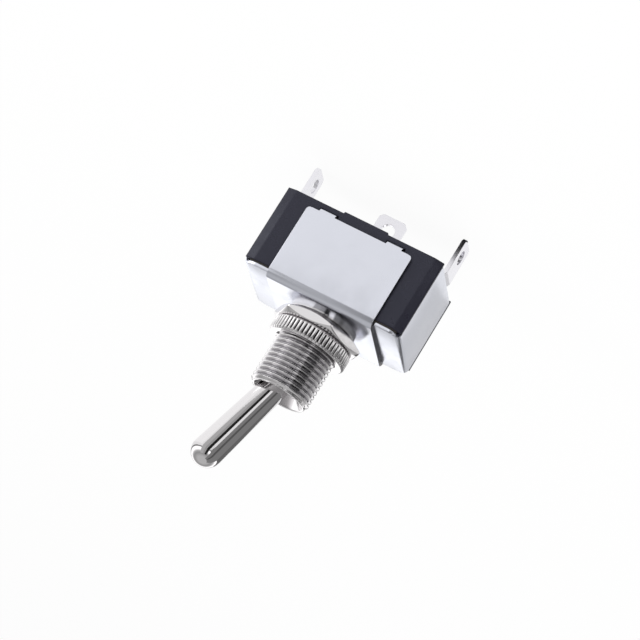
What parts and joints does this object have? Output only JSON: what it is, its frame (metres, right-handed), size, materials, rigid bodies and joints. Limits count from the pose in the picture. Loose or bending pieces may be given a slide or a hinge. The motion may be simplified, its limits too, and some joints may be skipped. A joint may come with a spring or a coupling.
{
  "type": "panel toggle switch",
  "caption": "Panel-mount bat-lever toggle switch: moulded case in a folded steel cage, threaded bushing with hex and knurled nuts, and solder-lug blade terminals.",
  "frame": {"origin": "the lever's pivot, on the axis of the threaded bushing, 10.4 mm above the bracket's outer face", "axes": "+Z along the bushing towards the lever, X along the case with the lever at rest thrown towards +X, Y across the case through the bracket's flanges"},
  "size_m": [0.0326, 0.0206, 0.0602],
  "materials": {
    "case_plastic": "moulded black, satin",
    "fibre": "pressed fibre sheet, dull",
    "zinc_steel": "zinc-plated sheet steel, bright",
    "nickel": "nickel-plated, bright",
    "steel": "plain bright steel",
    "nylon": "natural, satin",
    "copper_alloy": "phosphor bronze, bright",
    "silver": "silver contact, satin",
    "tinned": "tin-plated, satin"
  },
  "bodies": {
    "case": {"base": "case_plastic", "gasket": "fibre", "end_strap": "zinc_steel", "bracket": "zinc_steel", "bushing": "nickel", "cradle": "copper_alloy", "rocker_pin": "steel", "contact_rivet_left": "silver", "contact_rivet_right": "silver", "centre_rivet": "copper_alloy", "terminal_left": "tinned", "terminal_right": "tinned", "terminal_centre": "tinned"},
    "lever": {"lever": "nickel", "pivot_pin": "steel", "plunger_spring": "steel"},
    "plunger": {"plunger": "nylon"},
    "rocker": {"rocker": "copper_alloy", "rocker_contact_left": "silver", "rocker_contact_right": "silver"},
    "hex_nut": {"hex_nut": "nickel"},
    "knurled_nut": {"knurled_nut": "nickel"}
  },
  "joints": [
    {"name": "lever_throw", "type": "hinge", "parent": "case", "child": "lever", "pos_m": [0, 0, 0], "axis": [0, 1, 0], "range_deg": [-30.2, 0]},
    {"name": "plunger_slide", "type": "slide", "parent": "lever", "child": "plunger", "axis": [0.2605, 0, 0.9655], "range_m": [0, 0.0008], "stiffness_N_per_m": 800, "springref_m": -0.0015, "deforming": ["plunger_spring"]},
    {"name": "rocker_tilt", "type": "hinge", "parent": "case", "child": "rocker", "pos_m": [0, 0, -0.02295], "axis": [0, 1, 0], "range_deg": [0, 14]},
    {"name": "ring_travel", "type": "slide", "parent": "case", "child": "knurled_nut", "axis": [0, 0, 1], "range_m": [0, 0.009]},
    {"name": "hex_travel", "type": "slide", "parent": "case", "child": "hex_nut", "axis": [0, 0, 1], "range_m": [-0.000667, 0]}
  ],
  "couplings": [
    {"joint": "rocker_tilt", "follows": "lever_throw", "ratio": -0.46358}
  ]
}
